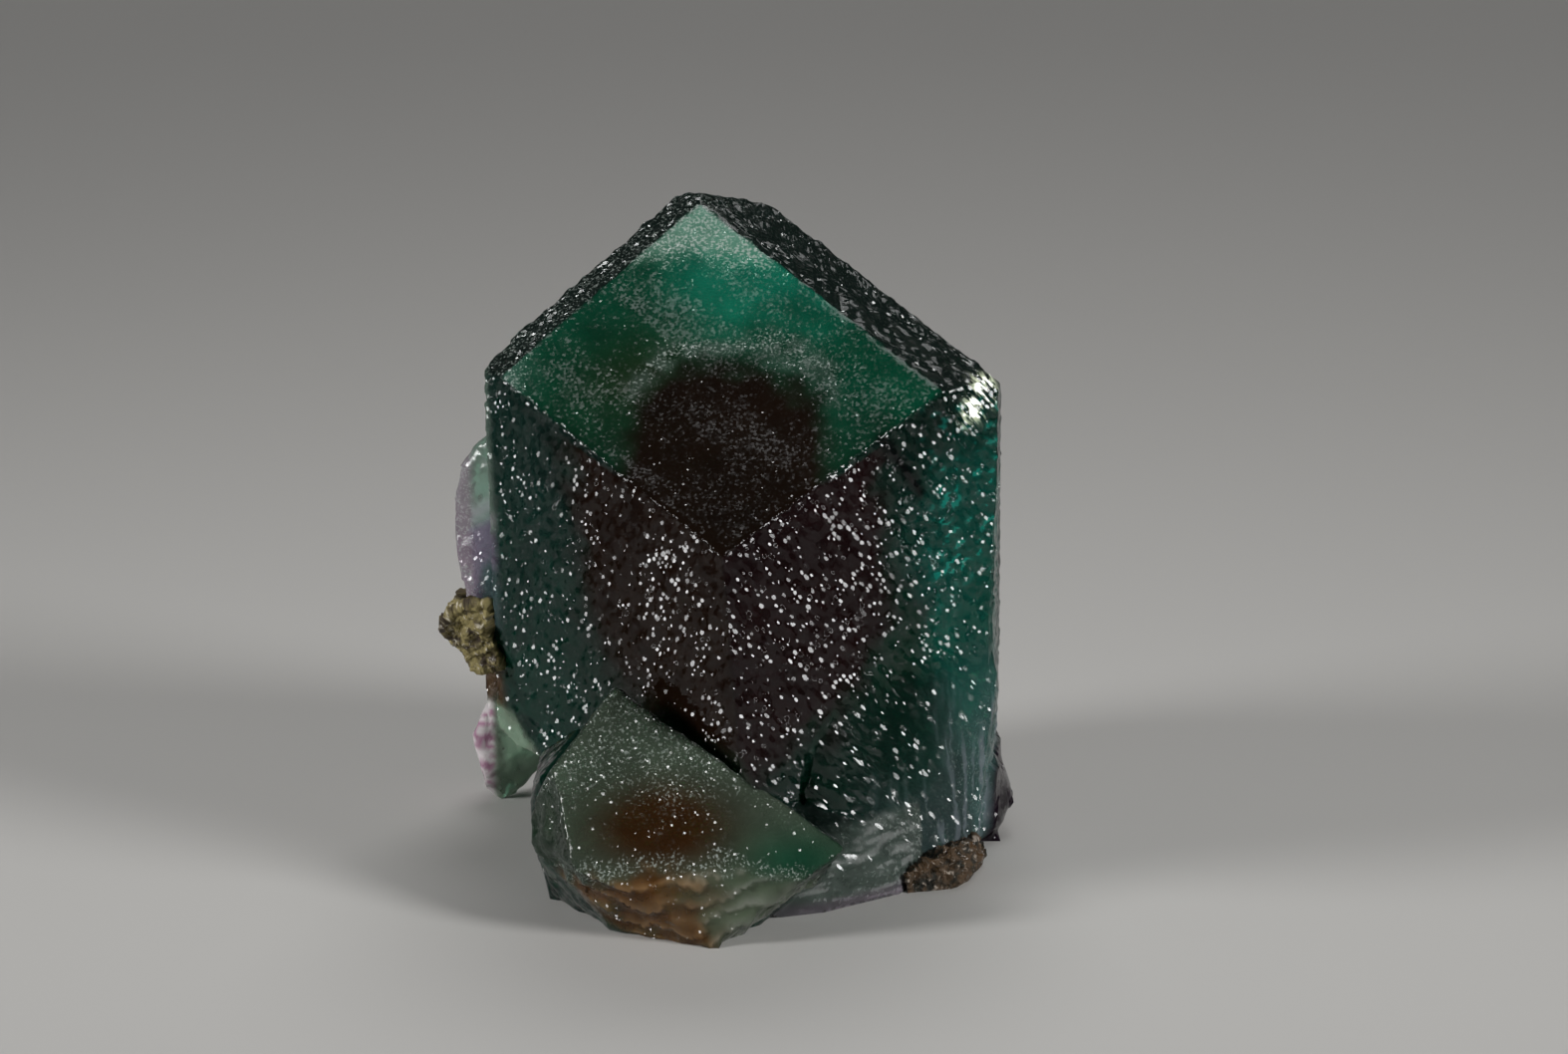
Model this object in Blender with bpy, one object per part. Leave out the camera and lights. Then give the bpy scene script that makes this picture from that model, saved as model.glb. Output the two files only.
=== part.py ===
"""A fluorite specimen 36 mm tall: a large dark green block of a crystal that leans back, smaller
crystals grown into its foot and its left side, and two crumbs of the rock that they grew on.

Lengths are in millimetres until a mesh is made. While the pieces are shaped, x runs to the right,
y to the back and z up, and the origin is on the floor below the main crystal's near corner.
"""

import math

import bmesh
import bpy
from mathutils import Matrix, Vector, noise

MM = 0.001

# Main crystal: its axes a (right and back), b (left and back) and c (up) start at the near corner
NEAR_CORNER = Vector((0.0, 0.0, 21.5))
MAIN_SPIN, MAIN_LEAN, MAIN_ROLL = 41.2, 37.0, -3.2
MAIN_A, MAIN_B, MAIN_C = 19.4, 17.9, 36.0
BACK_RIGHT, BACK_LEFT = Vector((1, 0, 0.04)), Vector((-0.10, 1, 0.09))
BEVEL_TILT = 30.0

# Lower crystal: a cube corner with edges down to the right and down to the left
LOWER_CORNER = Vector((-5.5, 11.5, 12.2))
LOWER_RIGHT_EDGE = Vector((0.806, -0.322, -0.497))
LOWER_LEFT_EDGE = Vector((-0.595, -0.436, -0.675))
LOWER_LENGTH, LOWER_DEPTH = 14.9, 14.0

# Relief of the faces: the mesh's cell along and across the ledges, and the height
LEDGE_ANGLE = 23.5
LEDGE_CELLS = (1.4, 0.7)
LEDGE_STEP, LEDGE_HEIGHT = 1.4, 0.30
TOP_CELLS, TOP_HEIGHT = (1.5, 1.5), 0.10
BACK_CELLS, BACK_HEIGHT = (2.0, 1.6), 0.35
LOWER_CELLS, LOWER_HEIGHT = (1.0, 1.0), 0.12
BREAK_CELLS, BREAK_HEIGHT, BREAK_RIPPLE = (0.9, 0.9), 0.35, 2.2
RELIEF_FADE = 0.7
ROCK_LUMP_HEIGHT, ROCK_LUMP_RATE = 0.45, 0.9

# Crumbs of rock stay this far from the crystals; a corner moves farther out than its faces do
GAP = 0.3
CORNER_REACH = 1.4

# The finished part's origin: the middle of its box, on the floor
FOOTPRINT_CENTRE = Vector((0.04, 19.95, 0.0))
FLOOR_CUT = 60.0

CRYSTAL_ROUGHNESS, ROCK_ROUGHNESS = 0.3, 0.9
COLOURS = {
    "green_fluorite": (0.02, 0.10, 0.07),
    "olive_rock": (0.30, 0.26, 0.16),
    "brown_rock": (0.14, 0.11, 0.08),
}


def axes_matrix(spin, lean, roll):
    """Turns a crystal about z, then leans it back about x, then rolls it about y."""
    turn = Matrix.Rotation(math.radians(spin), 3, "Z")
    back = Matrix.Rotation(math.radians(lean), 3, "X")
    side = Matrix.Rotation(math.radians(roll), 3, "Y")
    return side @ back @ turn


def bevel(a, b):
    """The direction of a bevel between the top face and the side that faces (a, b)."""
    s = math.sin(math.radians(BEVEL_TILT))
    return Vector((s * a, s * b, math.cos(math.radians(BEVEL_TILT))))


def cut_solid(faces, origin, reach=60.0):
    """The space inside all the faces, each an outward direction and its distance from the origin."""
    bm = bmesh.new()
    bmesh.ops.create_cube(bm, size=2 * reach)
    bmesh.ops.translate(bm, verts=bm.verts, vec=origin)
    for direction, distance in faces:
        normal = direction.normalized()
        cut = bmesh.ops.bisect_plane(
            bm,
            geom=bm.verts[:] + bm.edges[:] + bm.faces[:],
            dist=1e-4,
            plane_co=origin + distance * normal,
            plane_no=normal,
            clear_outer=True,
        )
        rim = [item for item in cut["geom_cut"] if isinstance(item, bmesh.types.BMEdge)]
        if rim:
            bmesh.ops.edgeloop_fill(bm, edges=rim)
    bmesh.ops.recalc_face_normals(bm, faces=bm.faces)
    return bm


def faces_towards(bm, normal):
    bm.normal_update()
    return [face for face in bm.faces if face.normal.dot(normal) > 0.9999]


def grid_face(bm, normal, along, cells):
    """Cuts one flat face into cells, along and across a direction that lies in it."""
    across = normal.cross(along).normalized()
    for line, cell in ((across, cells[1]), (along, cells[0])):
        spread = [v.co.dot(line) for face in faces_towards(bm, normal) for v in face.verts]
        count = max(1, round((max(spread) - min(spread)) / cell))
        step = (max(spread) - min(spread)) / count
        for index in range(1, count):
            faces = faces_towards(bm, normal)
            parts = {item for face in faces for item in (*face.verts, *face.edges, face)}
            bmesh.ops.bisect_plane(
                bm,
                geom=list(parts),
                dist=1e-3,
                plane_co=line * (min(spread) + index * step),
                plane_no=line,
            )


def distance_to_edge(point, edge):
    start, end = edge
    share = (point - start).dot(end - start) / (end - start).length_squared
    return (point - start.lerp(end, max(0.0, min(1.0, share)))).length


def raise_face(bm, normal, along, cells, relief):
    """Gives one flat face a relief: relief(along, across) is the height, and it fades to the rim."""
    normal = normal.normalized()
    along = (along - along.dot(normal) * normal).normalized()
    grid_face(bm, normal, along, cells)
    across = normal.cross(along).normalized()
    inside = [
        vert
        for vert in bm.verts
        if vert.link_faces and all(face.normal.dot(normal) > 0.9999 for face in vert.link_faces)
    ]
    flat = set(faces_towards(bm, normal))
    rim = [
        (edge.verts[0].co.copy(), edge.verts[1].co.copy())
        for edge in bm.edges
        if len(flat.intersection(edge.link_faces)) == 1
    ]
    heights = []
    for vert in inside:
        fade = min(1.0, min(distance_to_edge(vert.co, edge) for edge in rim) / RELIEF_FADE)
        heights.append(fade * relief(vert.co.dot(along), vert.co.dot(across)))
    for vert, height in zip(inside, heights):
        vert.co += height * normal


def ledges(seed):
    """Growth ledges: long terraces that break off and start again along their length."""

    def height(along, across):
        wander = 1.3 * noise.noise(Vector((0.16 * along, 0.4 * across, seed)))
        level = across / LEDGE_STEP + wander
        step = abs(2 * (level / 2 - math.floor(level / 2)) - 1)
        patch = 0.5 + noise.noise(Vector((0.3 * along, 0.3 * across, seed + 9)))
        return LEDGE_HEIGHT * (step - 0.75) * max(0.15, min(1.0, patch))

    return height


def hillocks(height_mm, size, seed):
    """Low irregular lumps and hollows."""

    def height(along, across):
        place = Vector((along / size, across / size, seed))
        return height_mm * (noise.noise(place) - 0.35)

    return height


def ripples(centre_along, centre_across, seed):
    """The curved folds of a broken surface, round the point where the break began."""

    def height(along, across):
        radius = math.hypot(along - centre_along, across - centre_across)
        wander = 1.5 * noise.noise(Vector((0.25 * along, 0.25 * across, seed)))
        fold = abs(((radius / BREAK_RIPPLE + wander) % 1.0) - 0.5) * 2
        return BREAK_HEIGHT * (fold - 0.8)

    return height


def plane_through(p, q, r, inside):
    """The outward direction of the plane through three points, and a point on it."""
    p, q, r = Vector(p), Vector(q), Vector(r)
    way = (q - p).cross(r - p).normalized()
    return (way if way.dot(inside - p) < 0 else -way), p


def main_faces(axes, grown=0.0):
    """The block's faces in its own axes: cube faces, bevels, cut corners and the broken foot."""
    faces = [
        ((0, 0, 1), 0.0),
        ((-1, 0, 0), 0.0),
        ((0, -1, 0), 0.0),
        (BACK_RIGHT, MAIN_A),
        (BACK_LEFT, MAIN_B),
        ((0, 0, -1), MAIN_C),
        (bevel(0, 1) + Vector((-0.05, 0, 0)), 8.1),
        (bevel(1, 0), 7.4),
        ((1, 0, 0.5), 15.5),
        ((1.2, 0.9, 1.1), 18.7),
        ((1, -0.6, 0.5), 13.5),
        ((1, -1.2, -0.05), 11.9),
        ((-1, 1.1, 0.09), 12.9),
        ((-0.8, 1, 1.1), 10.4),
        ((1, 1, 0), 24.6),
        ((0.2, 1, -1), 36.6),
        ((-0.79, -0.2, -0.72), 17.9),
        ((1, -0.4, -1.3), 36.5),
    ]
    return [(axes @ Vector(way), distance + grown) for way, distance in faces]


def main_crystal():
    """The large block, with ledges on its two front sides and low lumps on the other faces."""
    axes = axes_matrix(MAIN_SPIN, MAIN_LEAN, MAIN_ROLL)
    a, b, c = (axes.col[index].copy() for index in range(3))
    bm = cut_solid(main_faces(axes), NEAR_CORNER)
    angle = math.radians(LEDGE_ANGLE)
    left_ledge = math.cos(angle) * c - math.sin(angle) * b
    right_ledge = math.cos(angle) * c - math.sin(angle) * a
    raise_face(bm, -a, left_ledge, LEDGE_CELLS, ledges(2.0))
    raise_face(bm, -b, right_ledge, LEDGE_CELLS, ledges(5.0))
    raise_face(bm, c, a, TOP_CELLS, hillocks(TOP_HEIGHT, 3.0, 1.0))
    raise_face(bm, axes @ BACK_LEFT, c, BACK_CELLS, hillocks(BACK_HEIGHT, 4.0, 7.0))
    raise_face(bm, axes @ BACK_RIGHT, c, BACK_CELLS, hillocks(BACK_HEIGHT, 4.0, 8.0))
    raise_face(bm, a + b, c, BACK_CELLS, hillocks(BACK_HEIGHT, 4.0, 6.0))
    return bm


def lower_crystal():
    """The cube corner in front of the foot, broken away below in curved folds."""
    right_edge = LOWER_RIGHT_EDGE.normalized()
    left_edge = LOWER_LEFT_EDGE.normalized()
    front = left_edge.cross(right_edge).normalized()
    inside = Vector((-2.0, 14.0, 4.0))
    breaks = [
        plane_through((-8.4, 8.6, 7.7), (-7.5, 6.2, 4.1), (-10.0, 11.0, 6.2), inside),
        plane_through((-10.1, 11.0, 6.2), (-9.1, 13.0, 1.4), (-10.0, 16.0, 6.2), inside),
        plane_through((-7.5, 6.2, 4.1), (-6.5, 10.3, 0.0), (-9.1, 13.0, 1.4), inside),
        plane_through((-7.5, 6.2, 4.1), (-4.9, 8.5, 0.0), (-2.6, 7.1, 0.0), inside),
        plane_through((-3.7, 5.7, 3.3), (1.1, 5.9, 3.6), (-0.5, 6.0, 0.0), inside),
        plane_through((6.2, 6.8, 4.9), (-0.3, 6.0, 0.0), (2.3, 11.0, 0.0), inside),
    ]
    faces = [
        (front, 0.0),
        (-left_edge, 0.0),
        (-right_edge, 0.0),
        (right_edge, LOWER_LENGTH),
        (-front, LOWER_DEPTH),
        (Vector((0, 0, -1)), LOWER_CORNER.z + 2.0),
    ]
    faces += [(way, (point - LOWER_CORNER).dot(way)) for way, point in breaks]
    bm = cut_solid(faces, LOWER_CORNER)
    raise_face(bm, front, right_edge, LOWER_CELLS, hillocks(LOWER_HEIGHT, 2.0, 3.0))
    for index, (way, _) in enumerate(breaks):
        along = Vector((0, 0, 1)).cross(way)
        raise_face(bm, way, along, BREAK_CELLS, ripples(-2.0, 6.0, 11.0 + index))
    return bm


def hull(points):
    """The convex solid round a few points."""
    bm = bmesh.new()
    for point in points:
        bm.verts.new(point)
    made = bmesh.ops.convex_hull(bm, input=bm.verts)
    spare = {item for item in made["geom_interior"] if isinstance(item, bmesh.types.BMVert)}
    spare |= {item for item in made["geom_unused"] if isinstance(item, bmesh.types.BMVert)}
    bmesh.ops.delete(bm, geom=list(spare), context="VERTS")
    bmesh.ops.recalc_face_normals(bm, faces=bm.faces)
    return bm


def side_crystal():
    """The pale crystal behind the left edge, a rounded slab that thins to a rim."""
    rim = [
        (-12.2, 24.0, 22.2),
        (-13.1, 24.0, 21.4),
        (-13.9, 24.0, 20.3),
        (-14.2, 24.2, 18.8),
        (-14.3, 24.6, 17.0),
        (-14.1, 25.0, 15.3),
        (-13.9, 25.6, 13.5),
        (-13.6, 26.4, 11.9),
        (-12.0, 26.6, 11.2),
    ]
    back = [(x + 0.9, y + 3.2, z + (17.0 - z) * 0.25 + 0.8) for x, y, z in rim]
    return hull(rim + back + [(-9.0, 22.0, 20.5), (-9.0, 23.0, 13.0), (-8.0, 27.0, 17.0)])


def pale_crystal():
    """The pale green crystal at the lower left, with a bright flat facet on its left."""
    facet = [(-13.8, 31.5, 3.6), (-13.0, 31.5, 5.4), (-12.5, 32.2, 3.6), (-13.1, 31.2, 1.3)]
    body = [
        (-13.0, 32.4, 0.4),
        (-12.2, 32.4, 0.0),
        (-11.1, 32.4, 0.4),
        (-10.0, 32.4, 1.8),
        (-10.6, 31.8, 3.6),
        (-12.3, 31.8, 5.4),
    ]
    back = [
        (-13.0, 35.0, 4.6),
        (-12.3, 35.4, 2.0),
        (-10.5, 35.0, 1.6),
        (-8.0, 34.0, 4.0),
        (-10.0, 34.0, 7.0),
    ]
    return hull(facet + body + back)


def left_neck():
    """The thin brown part of the left side between the crumb of rock and the pale crystal."""
    return hull(
        [
            (-13.0, 30.4, 8.6),
            (-13.0, 30.8, 6.8),
            (-12.9, 31.2, 5.2),
            (-12.4, 31.8, 3.9),
            (-11.4, 29.0, 9.2),
            (-11.4, 31.2, 5.0),
            (-12.6, 32.6, 8.6),
            (-12.4, 33.2, 5.0),
            (-10.0, 31.0, 8.0),
        ]
    )


def dark_crystal():
    """The rounded dark crystal behind the right side of the foot."""
    front = [
        (12.0, 24.6, -1.0),
        (13.6, 24.2, -1.0),
        (14.6, 24.6, 0.4),
        (14.9, 25.0, 1.6),
        (14.5, 25.4, 2.8),
        (13.6, 25.6, 3.2),
    ]
    back = [(x - 0.3, y + 4.6, z + 0.6) for x, y, z in front]
    return hull(front + back + [(9.0, 24.0, -1.0), (9.0, 30.0, -1.0), (10.0, 26.0, 4.0)])


def foot_slab():
    """The clear slab in front of the right side of the foot."""
    return hull(
        [
            (1.8, 11.0, -1.0),
            (4.6, 12.1, -1.0),
            (7.6, 14.9, -1.0),
            (9.6, 16.2, -1.0),
            (1.8, 11.0, 0.2),
            (4.6, 12.1, 0.3),
            (7.6, 14.9, 0.3),
            (6.3, 11.6, 3.4),
            (7.8, 16.0, 1.9),
            (9.8, 17.2, 1.2),
            (2.0, 16.0, 5.0),
            (0.0, 22.0, -1.0),
            (11.0, 24.0, -1.0),
            (7.0, 24.0, 4.0),
        ]
    )


def swelling():
    """The lower right part of the main crystal, which stands steeper down to its etched corner."""
    return hull(
        [
            (4.6, 13.3, 9.6),
            (3.5, 15.0, 5.2),
            (6.4, 14.5, 11.2),
            (14.2, 23.9, 10.4),
            (14.4, 25.2, 7.6),
            (14.1, 25.2, 4.8),
            (13.5, 23.6, 2.9),
            (12.7, 21.3, 1.4),
            (11.5, 18.8, 0.9),
            (10.1, 17.5, 1.2),
            (7.8, 16.0, 1.9),
            (11.4, 18.7, -1.0),
            (12.6, 21.3, -1.0),
            (13.2, 26.0, -1.0),
            (7.0, 18.0, -1.0),
            (13.0, 29.0, 6.0),
            (8.0, 26.0, 4.0),
        ]
    )


def left_foot():
    """The broken part of the foot behind the left side of the lower crystal."""
    return hull(
        [
            (-9.4, 13.0, 6.8),
            (-10.0, 13.6, 5.2),
            (-9.6, 13.4, 3.4),
            (-9.1, 13.8, 1.3),
            (-8.8, 14.6, -1.0),
            (-7.0, 10.5, 6.0),
            (-7.4, 15.0, 9.0),
            (-9.6, 19.0, 6.4),
            (-9.4, 20.0, -1.0),
            (-4.0, 16.0, -1.0),
            (-4.0, 20.0, 6.0),
        ]
    )


def pushed_out(bm, distance):
    """Moves every face of a convex solid outwards by at least about this much."""
    bm.normal_update()
    ways = [(vert, vert.normal.copy()) for vert in bm.verts]
    for vert, way in ways:
        vert.co += CORNER_REACH * distance * way
    return bm


def lumpy(bm, seed):
    """Divides a convex solid's faces and moves the new corners in and out, as on broken rock."""
    bmesh.ops.triangulate(bm, faces=bm.faces)
    bmesh.ops.subdivide_edges(bm, edges=bm.edges, cuts=1, use_grid_fill=True)
    bmesh.ops.triangulate(bm, faces=bm.faces)
    bm.normal_update()
    start = Vector((seed, 0, 0))
    heights = [ROCK_LUMP_HEIGHT * noise.noise(v.co * ROCK_LUMP_RATE + start) for v in bm.verts]
    moves = [height * vert.normal for vert, height in zip(bm.verts, heights)]
    for vert, move in zip(bm.verts, moves):
        vert.co += move
    return bm


def left_rock():
    """The crumb of rock at the left edge, below the pale side crystal."""
    points = [
        (-14.9, 26.0, 11.4),
        (-14.0, 25.4, 12.7),
        (-13.0, 24.6, 12.9),
        (-11.4, 24.6, 12.6),
        (-11.0, 26.0, 9.8),
        (-13.0, 26.4, 8.9),
        (-14.2, 26.4, 10.2),
        (-13.6, 29.4, 12.4),
        (-12.2, 30.4, 9.0),
        (-14.2, 28.6, 10.4),
        (-11.8, 29.4, 13.0),
    ]
    return lumpy(hull(points), 3.0)


def right_rock():
    """The brown crumb of rock at the lower right."""
    points = [
        (9.0, 15.2, -0.6),
        (11.0, 15.6, -0.6),
        (12.4, 17.4, -0.6),
        (12.5, 17.2, 1.4),
        (11.7, 16.6, 2.0),
        (10.8, 16.2, 1.6),
        (9.2, 15.4, 0.9),
        (13.2, 20.4, -0.6),
        (13.0, 19.8, 1.7),
        (11.0, 20.0, 1.0),
    ]
    return lumpy(hull(points), 8.0)


SMALL_SHAPES = {
    "lower_crystal": lower_crystal,
    "side_crystal": side_crystal,
    "pale_crystal": pale_crystal,
    "left_neck": left_neck,
    "dark_crystal": dark_crystal,
    "foot_slab": foot_slab,
    "swelling": swelling,
    "left_foot": left_foot,
}


def new_object(name, bm, material):
    """Makes the object from millimetres, with one material."""
    bmesh.ops.translate(bm, verts=bm.verts, vec=-FOOTPRINT_CENTRE)
    bmesh.ops.scale(bm, vec=(MM, MM, MM), verts=bm.verts)
    mesh = bpy.data.meshes.new(name)
    bm.to_mesh(mesh)
    bm.free()
    mesh.materials.append(material)
    obj = bpy.data.objects.new(name, mesh)
    bpy.context.scene.collection.objects.link(obj)
    return obj


def as_cutter(obj):
    obj.hide_render = True
    obj.display_type = "WIRE"
    return obj


def add_boolean(obj, operation, other):
    boolean = obj.modifiers.new(f"{operation.lower()} {other.name}", "BOOLEAN")
    boolean.operation = operation
    boolean.object = other
    boolean.solver = "EXACT"


def clear_scene():
    for obj in list(bpy.data.objects):
        bpy.data.objects.remove(obj)


def main():
    clear_scene()
    materials = {}
    for name, colour in COLOURS.items():
        materials[name] = bpy.data.materials.new(name)
        materials[name].use_nodes = True
        shader = materials[name].node_tree.nodes["Principled BSDF"]
        shader.inputs["Base Color"].default_value = (*colour, 1.0)
        roughness = ROCK_ROUGHNESS if name.endswith("rock") else CRYSTAL_ROUGHNESS
        shader.inputs["Roughness"].default_value = roughness
    green = materials["green_fluorite"]
    below = bmesh.new()
    bmesh.ops.create_cube(below, size=2 * FLOOR_CUT)
    bmesh.ops.translate(below, verts=below.verts, vec=(0, 0, -FLOOR_CUT))
    floor = as_cutter(new_object("below_the_floor", below, green))

    crystals = new_object("fluorite_crystals", main_crystal(), green)
    for name, make in SMALL_SHAPES.items():
        add_boolean(crystals, "UNION", as_cutter(new_object(name, make(), green)))
    add_boolean(crystals, "DIFFERENCE", floor)

    # The rocks give way to the crystals, with a gap all round
    axes = axes_matrix(MAIN_SPIN, MAIN_LEAN, MAIN_ROLL)
    rooms = {"main_room": cut_solid(main_faces(axes, GAP), NEAR_CORNER)}
    for name, make in SMALL_SHAPES.items():
        if make is not lower_crystal:
            rooms[f"{name}_room"] = pushed_out(make(), GAP)
    cutters = [as_cutter(new_object(name, bm, green)) for name, bm in rooms.items()]
    for name, make, colour in (
        ("left_rock", left_rock, "olive_rock"),
        ("right_rock", right_rock, "brown_rock"),
    ):
        rock = new_object(name, make(), materials[colour])
        for cutter in [*cutters, floor]:
            add_boolean(rock, "DIFFERENCE", cutter)


main()
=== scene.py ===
"""The looks of the fluorite specimen: etched, glittering green crystals on a plain pale floor.

Values are in millimetres unless a name says otherwise. Patterns use the main crystal's own axes,
from its near corner: a runs right and back, b runs left and back, and c runs up.
"""

import math

import bmesh
import bpy
import numpy as np
from mathutils import Matrix, Vector, noise


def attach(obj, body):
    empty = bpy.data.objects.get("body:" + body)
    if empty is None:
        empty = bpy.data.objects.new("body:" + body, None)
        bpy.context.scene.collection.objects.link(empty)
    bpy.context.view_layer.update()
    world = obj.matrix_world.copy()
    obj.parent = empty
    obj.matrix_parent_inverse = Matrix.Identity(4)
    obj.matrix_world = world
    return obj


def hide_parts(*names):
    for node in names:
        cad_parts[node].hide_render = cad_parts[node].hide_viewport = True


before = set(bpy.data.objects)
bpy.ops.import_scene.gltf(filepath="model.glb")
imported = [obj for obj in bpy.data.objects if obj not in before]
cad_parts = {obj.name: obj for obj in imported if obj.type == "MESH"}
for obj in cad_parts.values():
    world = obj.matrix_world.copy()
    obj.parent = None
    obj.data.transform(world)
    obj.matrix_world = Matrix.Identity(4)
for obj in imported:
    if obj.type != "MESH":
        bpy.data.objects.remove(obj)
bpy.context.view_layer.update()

MM = 0.001

# The near corner of the main crystal and the attitude of its axes, as in the CAD part
NEAR_CORNER = np.array((-0.04, -19.95, 21.5))
MAIN_SPIN, MAIN_LEAN, MAIN_ROLL = 41.2, 37.0, -3.2
LOWER_CORNER = np.array((-5.54, -8.45, 12.2))
LOWER_RIGHT_EDGE = Vector((0.806, -0.322, -0.497)).normalized()
LOWER_LEFT_EDGE = Vector((-0.595, -0.436, -0.675)).normalized()
LEDGE_ANGLE = math.radians(23.5)
BEVEL_SIN, BEVEL_COS = 0.5, math.sqrt(0.75)

FINE, COARSE = 0.35, 1.2


def crystal_axes():
    turn = Matrix.Rotation(math.radians(MAIN_SPIN), 3, "Z")
    back = Matrix.Rotation(math.radians(MAIN_LEAN), 3, "X")
    side = Matrix.Rotation(math.radians(MAIN_ROLL), 3, "Y")
    return np.array(side @ back @ turn)


AXES = crystal_axes()
A, B, C = AXES[:, 0], AXES[:, 1], AXES[:, 2]
LOWER_FRONT = np.array(LOWER_LEFT_EDGE.cross(LOWER_RIGHT_EDGE).normalized())


def step(low, high, value):
    """0 below low, 1 above high, smooth between; high may be the smaller one."""
    t = np.clip((value - low) / (high - low), 0.0, 1.0)
    return t * t * (3 - 2 * t)


def fractal(points, size, seed, octaves=3):
    """Smooth noise of about -1 to 1 at each point."""
    offset = Vector((seed * 7.1, seed * 3.3, seed * 1.7))
    return np.array(
        [noise.fractal(Vector(p) / size + offset, 0.6, 2.0, octaves) for p in points]
    )


# Geometry


def refined(name, node, size_at):
    """A copy of a CAD node's mesh with its long edges divided until each is short enough."""
    bm = bmesh.new()
    bm.from_mesh(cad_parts[node].data)
    bmesh.ops.remove_doubles(bm, verts=bm.verts, dist=2e-7)
    bmesh.ops.triangulate(bm, faces=bm.faces)
    for _ in range(9):
        long_edges = [e for e in bm.edges if e.calc_length() > MM * size_at(e)]
        if not long_edges:
            break
        bmesh.ops.subdivide_edges(bm, edges=long_edges, cuts=1, use_single_edge=True)
        bmesh.ops.triangulate(bm, faces=[f for f in bm.faces if len(f.verts) > 3])
    mesh = bpy.data.meshes.new(name)
    bm.to_mesh(mesh)
    bm.free()
    obj = bpy.data.objects.new(name, mesh)
    bpy.context.scene.collection.objects.link(obj)
    return obj


def front_size(edge):
    """Short edges on what faces the viewer, longer ones behind and below."""
    normal = sum((f.normal for f in edge.link_faces), Vector())
    return FINE if normal.normalized().dot(Vector((0.0, -0.85, 0.5))) > 0.05 else COARSE


class Surface:
    """The points and normals of a mesh in numpy, and what kind of face each point is on."""

    def __init__(self, mesh):
        count = len(mesh.vertices)
        points = np.empty(count * 3, np.float32)
        mesh.vertices.foreach_get("co", points)
        self.points = points.reshape(-1, 3).astype(float) * 1000
        corners = np.empty(len(mesh.loops), np.int32)
        mesh.loops.foreach_get("vertex_index", corners)
        self.faces = corners.reshape(-1, 3)
        p = self.points[self.faces]
        cross = np.cross(p[:, 1] - p[:, 0], p[:, 2] - p[:, 0])
        length = np.linalg.norm(cross, axis=1)
        self.areas = length / 2
        self.face_normals = cross / np.maximum(length, 1e-12)[:, None]
        self.centres = p.mean(axis=1)
        self.normals = self.to_points(self.face_normals)
        self.normals /= np.maximum(np.linalg.norm(self.normals, axis=1), 1e-9)[:, None]
        relative = self.points - NEAR_CORNER
        self.a, self.b, self.c = relative @ A, relative @ B, relative @ C

    def to_points(self, face_values):
        """The area-weighted mean of a face value at each point."""
        values = np.asarray(face_values, float)
        columns = values.reshape(len(values), -1)
        total = np.zeros((len(self.points), columns.shape[1]))
        weight = np.zeros(len(self.points))
        for corner in range(3):
            np.add.at(total, self.faces[:, corner], columns * self.areas[:, None])
            np.add.at(weight, self.faces[:, corner], self.areas)
        total /= np.maximum(weight, 1e-12)[:, None]
        return total if values.ndim > 1 else total[:, 0]


def lower_crystal(points):
    """1 at points on the lower crystal, 0 elsewhere."""
    to_corner = points - LOWER_CORNER
    u, v = to_corner @ np.array(LOWER_RIGHT_EDGE), to_corner @ np.array(LOWER_LEFT_EDGE)
    lower = step(-0.9, 0.1, u) * step(-0.9, 0.1, v) * step(15.5, 14.5, u)
    return lower * step(-4.5, -3.5, to_corner @ LOWER_FRONT) * (points[:, 1] < -2.45)


def crystal_zones(s):
    """What kind of face each face is, and how much each point belongs to each kind."""
    n = s.face_normals
    relative = s.centres - NEAR_CORNER
    a, b, c = relative @ A, relative @ B, relative @ C
    swelling = (n @ -B > 0.55) & (b > -5) & (b < 1.2) & (a > 2) & (c < -10)
    on_lower = lower_crystal(s.centres) > 0.5
    left_bevel, right_bevel = BEVEL_COS * C + BEVEL_SIN * B, BEVEL_COS * C + BEVEL_SIN * A
    zones = {
        "top": (n @ C > 0.97) & (c > -1.0),
        "left": (n @ -A > 0.8) & (np.abs(a) < 1.2),
        "right": ((n @ -B > 0.8) & (np.abs(b) < 1.2)) | swelling,
        "bevel": (n @ left_bevel > 0.97) | (n @ right_bevel > 0.97),
        "lower": on_lower & (n @ LOWER_FRONT > 0.2),
        "back": ((n @ A > 0.5) | (n @ B > 0.5)) & ~on_lower & (relative[:, 2] > -19),
    }
    for kind in ("top", "left", "right", "bevel", "back"):
        zones[kind] &= ~on_lower
    return zones, {name: s.to_points(mask.astype(float)) for name, mask in zones.items()}


def smoothed(s, weight, rounds):
    """The points after averaging each with its neighbours, as far as its weight says."""
    points = s.points.copy()
    pairs = np.vstack([s.faces[:, (0, 1)], s.faces[:, (1, 2)], s.faces[:, (2, 0)]])
    pairs = pairs[(weight[pairs] > 0).any(axis=1)]
    count = len(points)
    degree = np.maximum(np.bincount(pairs[:, 0], minlength=count), 1)[:, None]
    for _ in range(rounds):
        total = np.stack(
            [np.bincount(pairs[:, 0], points[pairs[:, 1], k], count) for k in range(3)], axis=1
        )
        points += 0.6 * weight[:, None] * (total / degree - points)
    return points


def keep_points(mesh, points):
    mesh.vertices.foreach_set("co", np.asarray(points * MM, np.float32).ravel())
    mesh.update()


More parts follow.
